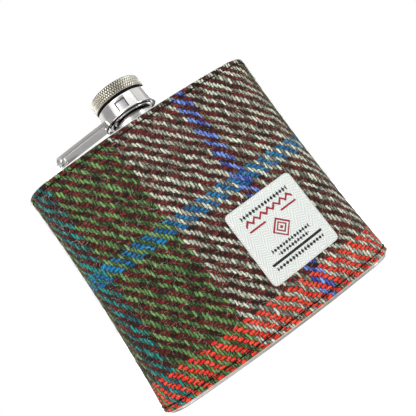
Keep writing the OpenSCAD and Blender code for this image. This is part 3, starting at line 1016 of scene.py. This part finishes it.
# %% Grow the fibres
def fibres(count, seed):
    """Hairs on random walks; each is six rings of three points, closed at both ends."""
    dice = np.random.default_rng(seed)
    steps = 6
    start = np.stack([dice.uniform(-HALF_ROUND, HALF_ROUND, count),
                      dice.uniform(COVER_LO + 1 * MM, COVER_HI - 1 * MM, count)], -1)
    heading = dice.uniform(0, 2 * math.pi, count)
    curl = dice.normal(0, 0.55, (count, steps)).cumsum(1)
    curl = curl + dice.normal(0, 0.35, (count, 1)) * np.arange(steps)
    length = dice.uniform(1.2, 4.6, count) * MM / steps
    direction = heading[:, None] + curl
    moves = np.stack([np.cos(direction), np.sin(direction)], -1) * length[:, None, None]
    path = start[:, None, :] + np.cumsum(moves, 1)
    path[:, :, 1] = path[:, :, 1].clip(COVER_LO + 0.3 * MM, COVER_HI - 0.3 * MM)
    arch = np.sin(np.linspace(0.1, math.pi - 0.1, steps))
    rise = (-0.12 + dice.uniform(0.15, 0.75, count)[:, None] * arch) * MM
    thick = dice.uniform(0.018, 0.038, count) * MM
    path[:, :, 0] = path[:, :, 0].clip(-HALF_ROUND, HALF_ROUND)
    sideways = np.stack([-np.sin(direction), np.cos(direction)], -1)
    points = []
    for corner in range(3):
        angle = corner * 2 * math.pi / 3
        shift = sideways * (thick * math.cos(angle))[:, None, None]
        spot, facing = around(path[:, :, 0] + shift[:, :, 0], path[:, :, 1] + shift[:, :, 1], CLOTH_OUT)
        lift = rise + (thick * math.sin(angle))[:, None]
        points.append(spot + facing * lift[..., None])
    points = np.stack(points, 2).reshape(-1, 3)
    first = (np.arange(count) * steps * 3)[:, None]
    ring = np.array([[3 * k + c, 3 * k + (c + 1) % 3, 3 * k + 3 + (c + 1) % 3, 3 * k + 3 + c]
                     for k in range(steps - 1) for c in range(3)])
    faces = (first[:, None] + ring[None]).reshape(-1, 4).tolist()
    last = 3 * (steps - 1)
    faces += [[k, k + 2, k + 1] for k in first[:, 0].tolist()]
    faces += [[k + last, k + last + 1, k + last + 2] for k in first[:, 0].tolist()]
    return from_points("wool_fibres", points, faces)


def wool_hair():
    recipe = Recipe("wool_fibre", Roughness=0.7, Sheen_Weight=0.5)
    pick = recipe.noise(recipe.place(), 420.0, 0.0)
    shades = [(0.0, tone(118, 46, 44)), (0.40, tone(150, 128, 104)), (0.5, tone(205, 200, 180)),
              (0.60, tone(120, 140, 92)), (0.72, tone(90, 70, 66))]
    return recipe.finish(Base_Color=recipe.colours(pick, shades))


hairs = fibres(count=3400, seed=11)
belongs(hairs, "flask", "tweed", wool_hair())
print("fibres", len(hairs.data.polygons), "faces")

# %% [markdown]
# The tweed and its lining are each cut as one long strip and closed at the back, and the label is its own
# small square. The two strips' widths are worked out below.

round(2 * HALF_ROUND, 4)
round(2 * cloth_half(0.0, LINING_OUT), 4)

# %% [markdown]
# ## The bottle
# The steel bottle itself shows only as a thin bright line below and above the cover, and from underneath.
# Its wall and its two plates have the right shape in the frame already, so they are copied with softened
# rims.

# %% Bottle
for node, edge, finish in (("base_plate", 0.35 * MM, BRUSHED), ("top_plate", 0.3 * MM, POLISHED),
                           ("body_wall", 0.05 * MM, BRUSHED)):
    piece = refined(node, node + "_steel", edge)
    belongs(piece, "flask", "body_steel", finish, node)

# %% [markdown]
# ## The neck
# The collar around the foot of the neck is a turned ring with a softly domed shoulder. The neck tube goes
# down through it, and its thread is a real screw: a small wedge outline that a Screw modifier winds upwards.

# %% Neck
flange_lo, flange_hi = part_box("neck_flange")
neck_lo, neck_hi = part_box("neck_tube")
NECK_R, BORE_R, RIDGE_R = 6.5 * MM, 5.9 * MM, 6.93 * MM
THREAD_PITCH = 1.4 * MM
THREAD_ROOT = 0.2 * MM   # how deep a thread is rooted in its wall
DOME_STEPS = 5


def flange_outline():
    dome = 1.1 * MM
    shoulder = [(flange_hi.x - dome * (1 - math.cos(a)), flange_hi.z - dome * (1 - math.sin(a)))
                for a in (math.pi / 2 * k / DOME_STEPS for k in range(DOME_STEPS + 1))]
    foot = [(NECK_R, flange_lo.z), (flange_hi.x, flange_lo.z), (flange_hi.x, flange_lo.z + 0.4 * MM)]
    return foot + shoulder + [(NECK_R, flange_hi.z)]


def screw_thread(name, radius, crest, start, turns):
    """A wedge of thread wound up a wall; crest is the radius of its sharp edge, out from the wall or in."""
    half = 0.3 * THREAD_PITCH
    bpy.ops.object.select_all(action="DESELECT")
    bpy.ops.mesh.primitive_circle_add(vertices=4, radius=half, fill_type="NGON", rotation=(math.pi / 2, 0, 0),
                                      location=(radius, 0, start))
    ridge = bpy.context.active_object
    ridge.name = name
    only(ridge)
    bpy.ops.object.transform_apply(location=True, rotation=True, scale=True)
    side = math.copysign(1, crest - radius)
    for vertex in ridge.data.vertices:
        beyond = (vertex.co.x - radius) * side
        if beyond > half / 2:
            vertex.co.x = crest
        elif beyond < -half / 2:
            vertex.co.x = radius - side * THREAD_ROOT
    modify(ridge, "SCREW", screw_offset=THREAD_PITCH, iterations=turns, steps=64, render_steps=64,
           use_normal_calculate=True)
    start_edit(ridge)
    bpy.ops.mesh.remove_doubles(threshold=WELD)
    bpy.ops.mesh.select_all(action="DESELECT")
    bpy.ops.mesh.select_mode(type="EDGE")
    bpy.ops.mesh.select_non_manifold(extend=False)
    if ridge.data.total_edge_sel:
        bpy.ops.mesh.edge_face_add()
    bpy.ops.mesh.select_mode(type="VERT")
    bpy.ops.mesh.select_all(action="SELECT")
    bpy.ops.mesh.normals_make_consistent(inside=False)
    end_edit()
    smooth(ridge, 35)
    return ridge


flange = lathe("neck_collar_ring", flange_outline())
smooth(flange, 40)
belongs(flange, "flask", "polished_steel", BRUSHED, "neck_flange")
tube = lathe("neck_pipe", [(BORE_R, neck_lo.z), (NECK_R, neck_lo.z),
                           (NECK_R, neck_hi.z), (BORE_R, neck_hi.z)])
soften(tube, 0.15 * MM)
belongs(tube, "flask", "polished_steel", POLISHED, "neck_tube")
neck_thread = screw_thread("neck_thread", NECK_R, RIDGE_R, flange_hi.z + 0.7 * MM, 3)
belongs(neck_thread, "flask", "polished_steel", POLISHED)
print("neck mouth at", neck_hi.z)

# %% [markdown]
# ## The hinge
# The bracket is a small knuckle on the top plate. A pin with two peened heads goes through it and through
# the arm's two round ears. These small pressed parts are copied from the frame and softened, and each pin
# head gets the dimple that the peening punch leaves.

# %% Hinge parts
def punch_ends(obj, rim, depth):
    """Pushes a dimple into each end face of a pin that lies along Y."""
    for side in (-1, 1):
        reach = max(side * vertex.co.y for vertex in obj.data.vertices)
        start_edit(obj, everything=False)
        bpy.ops.mesh.select_mode(type="FACE")
        end_edit()
        for face in obj.data.polygons:
            face.select = side * face.normal.y > 0.9 and side * face.center.y > reach - 0.01 * MM
        bpy.ops.object.mode_set(mode="EDIT")
        bpy.ops.mesh.inset(thickness=rim)
        bpy.ops.transform.translate(value=(0, -side * depth, 0))
        bpy.ops.mesh.select_mode(type="VERT")
        end_edit()


bracket = refined("hinge_bracket", "hinge_knuckle", 0.12 * MM)
belongs(bracket, "flask", "polished_steel", POLISHED, "hinge_bracket")
pin = refined("hinge_pin", "peened_pin", 0.1 * MM)
punch_ends(pin, 0.3 * MM, 0.14 * MM)
belongs(pin, "flask", "polished_steel", POLISHED, "hinge_pin")
arm = refined("hinge_arm", "swing_arm", 0.14 * MM)
belongs(arm, "arm", "polished_steel", POLISHED, "hinge_arm")

# %% [markdown]
# ## The band that holds the cap
# The arm ends in a band around the cap. Its foot is rolled, its wall leans in a little, and three small tabs
# are pressed inwards so that their tops hook over the cap's lip: the cap can turn but can't fall out. The
# band is turned whole, the three windows are cut out of it, and a tab is spun through a short angle for each
# window.

# %% Band
band_lo, band_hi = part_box("cap_collar")
SHEET = 0.6 * MM
BAND_R, FOOT_R = 10.2 * MM, 10.75 * MM
TAB_LOW, TAB_HIGH = band_lo.z + 1.1 * MM, band_lo.z + 5.0 * MM
TAB_W, TAB_BACK, HOOK_R, HOOK_H = 4.2 * MM, 0.4 * MM, 8.65 * MM, 0.8 * MM
TAB_GAP = 0.18 * MM      # air on each side of a tab, in its window
TAB_ANGLES = (-8, 112, 232)
# The band is painted black as shade along its foot, fading out 0.3 mm above it.
SHADED_BAND_STEEL = steel("band_steel", *POLISH, (band_lo.z + 0.12 * MM, band_lo.z + 0.3 * MM))


def band_outline():
    """The wall's section, from its inside down to the rolled foot and up the outside."""
    low, high, roll = band_lo.z, band_hi.z, 0.7 * MM
    return [(BAND_R - SHEET, high), (FOOT_R - SHEET, low + roll), (FOOT_R - SHEET - 0.1 * MM, low),
            (FOOT_R - 0.25 * MM, low), (FOOT_R - 0.07 * MM, low + 0.07 * MM), (FOOT_R, low + 0.25 * MM),
            (FOOT_R, low + roll * 0.8), (FOOT_R - 0.12 * MM, low + roll * 1.1),
            (BAND_R + 0.02 * MM, high - 0.3 * MM), (BAND_R - 0.1 * MM, high - 0.08 * MM),
            (BAND_R - 0.25 * MM, high)]


def window_cutter(angle):
    """A box through the band's wall where a tab is pressed in."""
    bpy.ops.object.select_all(action="DESELECT")
    middle = Vector((0, -BAND_R, (TAB_LOW + TAB_HIGH) / 2))
    bpy.ops.mesh.primitive_cube_add(size=1, location=middle)
    box = bpy.context.active_object
    start_edit(box)
    bpy.ops.transform.resize(value=(TAB_W, 5 * SHEET, TAB_HIGH - TAB_LOW), center_override=middle)
    end_edit()
    only(box)
    bpy.ops.object.transform_apply(location=True, rotation=True, scale=True)
    for vertex in box.data.vertices:
        vertex.co = turn_z(vertex.co, angle)
    return box


def tab(angle):
    """A pressed-in tab: an outline of the sheet and its hook, spun through the window's width."""
    r = BAND_R - TAB_BACK
    width = math.degrees((TAB_W - 2 * TAB_GAP) / BAND_R)
    outline = [(r - SHEET * 0.9, TAB_LOW + 0.05 * MM), (r + TAB_BACK * 0.6, TAB_LOW + 0.05 * MM),
               (r, TAB_LOW + 0.6 * MM), (r, TAB_HIGH - 0.2 * MM), (r - 0.15 * MM, TAB_HIGH - 0.04 * MM),
               (HOOK_R, TAB_HIGH - 0.04 * MM), (HOOK_R, TAB_HIGH - HOOK_H), (r - SHEET, TAB_HIGH - HOOK_H)]
    return lathe("tab", outline, 10, angle - 90 + width / 2, width)


band = lathe("cap_band", band_outline(), 144)
for angle in TAB_ANGLES:
    cutter = window_cutter(angle)
    modify(band, "BOOLEAN", operation="DIFFERENCE", object=cutter, solver="EXACT")
    bpy.data.objects.remove(cutter)
soften(band, 0.07 * MM, 40)
tabs = [tab(angle) for angle in TAB_ANGLES]
belongs(band, "arm", "polished_steel", SHADED_BAND_STEEL, "cap_collar")
# The tabs get the steel that is painted darker as shade.
for number, piece in enumerate(tabs, 1):
    soften(piece, 0.1 * MM, 40)
    piece.name = f"cap_tab_{number}"
    belongs(piece, "arm", "polished_steel", SHADED_PRESSED)
print("band faces", len(band.data.polygons))

# %% [markdown]
# ## The cap
# The cap has a turned sleeve with a lip at its foot, a rubber washer inside, and a knurled head pressed over
# the top. The knurl on the head is a diamond one: two sets of slanting grooves cross each other. It is made
# by turning a plain head with many steps and then pressing in the points where the grooves run.

# %% Sleeve and washer
sleeve_lo, sleeve_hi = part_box("cap_sleeve")
washer_lo, washer_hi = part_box("seal_washer")
head_lo, head_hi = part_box("cap_head")
CAP_BORE, GROOVE_R, LIP_R, BOSS_R = 7.55 * MM, 8.45 * MM, 9.05 * MM, 9.35 * MM
CLEAR = 0.05 * MM


def sleeve_outline():
    low, seat, neck = sleeve_lo.z, washer_hi.z + CLEAR, head_lo.z - 0.2 * MM
    return [(CAP_BORE + 0.5 * MM, low), (LIP_R - 0.15 * MM, low), (LIP_R, low + 0.15 * MM),
            (LIP_R, low + 0.7 * MM), (LIP_R - 0.3 * MM, low + 1 * MM), (GROOVE_R, low + 1 * MM),
            (GROOVE_R, neck), (BOSS_R, neck), (BOSS_R, sleeve_hi.z), (0, sleeve_hi.z), (0, seat),
            (CAP_BORE, seat), (CAP_BORE, low + 0.6 * MM)]


cap_sleeve = lathe("cap_bush", sleeve_outline(), 128)
soften(cap_sleeve, 0.08 * MM, 40)
# The groove over the lip, the bore and the thread inside it are painted black as shade.
SHADED_GROOVE_STEEL = groove_steel(sleeve_lo.z + 1.1 * MM, CAP_BORE + 0.4 * MM)
belongs(cap_sleeve, "cap", "polished_steel", SHADED_GROOVE_STEEL, "cap_sleeve")
cap_thread = screw_thread("cap_thread", CAP_BORE, 7.05 * MM, sleeve_lo.z + 1.3 * MM, 3)
belongs(cap_thread, "cap", "polished_steel", SHADED_GROOVE_STEEL)
washer = lathe("washer_ring", [(0, washer_lo.z), (washer_hi.x, washer_lo.z), (washer_hi.x, washer_hi.z),
                               (0, washer_hi.z)], 96)
soften(washer, 0.25 * MM, 40, 3)
belongs(washer, "washer", "washer_rubber", RUBBER, "seal_washer")

# %% Knurled head
HEAD_R = head_hi.x
HEAD_ROUND = 1.0 * MM
HEAD_FOOT = 0.6 * MM
KNURL_DEPTH = 0.50 * MM
KNURLS = 66              # grooves of each slant, around the head
KNURL_CLIMB = 0.5        # how much a groove leans
HEAD_STEPS = 6 * KNURLS


def head_outline():
    low, high, wall = head_lo.z, head_hi.z, 0.7 * MM
    foot = [(HEAD_R - HEAD_FOOT * (1 - math.sin(a)), low + HEAD_FOOT * (1 - math.cos(a)))
            for a in (math.radians(15 * k) for k in range(6))]
    rows = [(HEAD_R, low + HEAD_FOOT + k * (high - HEAD_ROUND - low - HEAD_FOOT) / 14) for k in range(15)]
    crown = [(HEAD_R - HEAD_ROUND * (1 - math.cos(a)), high - HEAD_ROUND * (1 - math.sin(a)))
             for a in (math.radians(15 * k) for k in range(1, 7))]
    top = [(HEAD_R * 0.8, high), (HEAD_R * 0.76, high - 0.06 * MM), (HEAD_R * 0.4, high - 0.06 * MM)]
    inside = [(0, high - 0.06 * MM), (0, high - wall), (BOSS_R, high - wall)]
    return [(BOSS_R, low)] + foot + rows + crown + top + inside


def press_knurl(obj):
    """Presses crossing slanted grooves into the head's side, fading out over its crown."""
    side = np.array([vertex.co for vertex in obj.data.vertices])
    radius = np.hypot(side[:, 0], side[:, 1])
    turn = np.arctan2(side[:, 1], side[:, 0]) * KNURLS
    climb = (side[:, 2] - head_lo.z) / HEAD_R * KNURLS * KNURL_CLIMB
    grooves = np.maximum(np.cos(turn + climb), np.cos(turn - climb)).clip(0, 1) ** 3
    inner = HEAD_R - HEAD_ROUND * 0.75
    on_side = (radius > inner) & (side[:, 2] > head_lo.z + HEAD_FOOT * 0.7)
    fade = np.clip((radius - inner) / (0.3 * MM), 0, 1)
    shrink = 1 - on_side * fade * grooves * KNURL_DEPTH / np.maximum(radius, MM)
    side[:, 0] *= shrink
    side[:, 1] *= shrink
    obj.data.vertices.foreach_set("co", side.reshape(-1))
    obj.data.update()


head = lathe("knurled_head", head_outline(), HEAD_STEPS)
press_knurl(head)
smooth(head, 38)
# The knurl's cuts and the head's underside are painted dark as shade.
belongs(head, "cap", "knurled_steel", knurl_steel(HEAD_R, KNURL_DEPTH, head_lo.z), "cap_head")
print("head triangles", 2 * len(head.data.polygons))

# %% [markdown]
# ## Floor, light and camera
# A pale floor and a bright, even surround keep the cloth's colours true. Polished steel shows only what is
# around it, so the surround has soft grey bands in it, a little brighter in a mirror than as light, and the
# lamps draw the bright streaks on the band. The floor isn't mirrored, so the cap's underside stays dark. The
# surround is written as a net, as the materials are.

# %% Stage
bpy.ops.object.select_all(action="DESELECT")
bpy.ops.mesh.primitive_plane_add(size=6.0, location=(0, 0, 0))
floor = bpy.context.active_object
floor.name = "floor"
paper = Recipe("floor_paper", Roughness=0.9, Base_Color=(0.9, 0.9, 0.9, 1), Emission_Color=(1, 1, 1, 1),
               Emission_Strength=0.55)
floor.data.materials.append(paper.material)
floor.visible_glossy = False


def lamp(name, panel, place, target, power, colour=(1, 1, 1)):
    """A rectangular lamp whose panel is so wide and so high, and faces a target."""
    light = bpy.data.lights.new(name, "AREA")
    light.shape = "RECTANGLE"
    light.size, light.size_y = panel
    light.energy = power
    light.color = colour
    obj = linked(name, light)
    obj.location = place
    obj.rotation_euler = (Vector(target) - Vector(place)).to_track_quat("-Z", "Y").to_euler()


CENTRE = (0, 0, 0.05)
lamp("key", (0.5, 0.7), (-0.6, -0.8, 0.7), CENTRE, 5.6)
lamp("top", (2.4, 2.4), (0, -0.2, 1.5), (0, 0, 0), 17.0)
lamp("strip", (0.12, 0.9), (0.75, -0.45, 0.35), CENTRE, 2.4)
lamp("warm", (0.3, 0.5), (-0.7, -0.35, 0.12), CENTRE, 1.0, (1.0, 0.72, 0.68))
lamp("back", (0.7, 0.4), (0.3, 0.9, 0.5), CENTRE, 4.0)


def greys(levels):
    return [(where, (grey, grey, grey, 1)) for where, grey in levels]


def surround():
    """A soft surround: light overhead, darker towards the horizon, and broken into wide bands."""
    world = bpy.data.worlds.new("surround")
    bpy.context.scene.world = world
    net = Net(world)
    x, y, z = net.parts(net.node("ShaderNodeTexCoord", output="Generated"))
    height = net.colours(z, greys([(0.0, 0.60), (0.10, 0.45), (0.28, 0.62), (0.5, 0.75), (1.0, 0.5)]))
    wave = (y.math("ARCTAN2", x) * 3.0 + 1.5).sine()
    bands = net.colours(wave, greys([(0.0, 0.55), (0.35, 0.75), (0.6, 1.0), (1.0, 1.0)]))
    colour = net.blend(1.0, height, bands, "MULTIPLY")
    mirrored = net.node("ShaderNodeLightPath", output="Is Glossy Ray")
    seen = net.node("ShaderNodeLightPath", output="Is Camera Ray")
    light = net.node("ShaderNodeBackground", None, {"Color": colour, "Strength": 1 + 0.45 * mirrored})
    plain = net.node("ShaderNodeBackground", None, {"Color": (1, 1, 1, 1)})
    chosen = net.node("ShaderNodeMixShader", None, {0: seen, 1: light, 2: plain})
    net.node("ShaderNodeOutputWorld", None, {0: chosen}, output=None)


surround()
bpy.context.scene.view_settings.view_transform = "Standard"

# %% [markdown]
# The camera is held low and close, and rolled, so that the flask leans across the picture as it would in a
# hand. Its place and its three directions are set as one matrix.

# %% Camera
LENS, SENSOR = 48.56, 36  # in millimetres, as Blender counts both
CAMERA_PLACE = Vector((-21.8, -199.3, 34.5)) * MM
RIGHT = Vector((0.82294, 0.00582, -0.56809))
FORWARD = Vector((0.12674, 0.97287, 0.19357))
SHIFT = (0.0952, -0.1399)


def make_camera():
    data = bpy.data.cameras.new("camera")
    data.lens = LENS
    data.sensor_width = SENSOR
    data.shift_x, data.shift_y = SHIFT
    data.clip_start = 0.01
    camera = linked("camera", data)
    up = RIGHT.cross(FORWARD)
    turn = camera.matrix_world.copy()
    for row in range(3):
        turn[row][0], turn[row][1], turn[row][2] = RIGHT[row], up[row], -FORWARD[row]
        turn[row][3] = CAMERA_PLACE[row]
    camera.matrix_world = turn
    bpy.context.scene.camera = camera


make_camera()
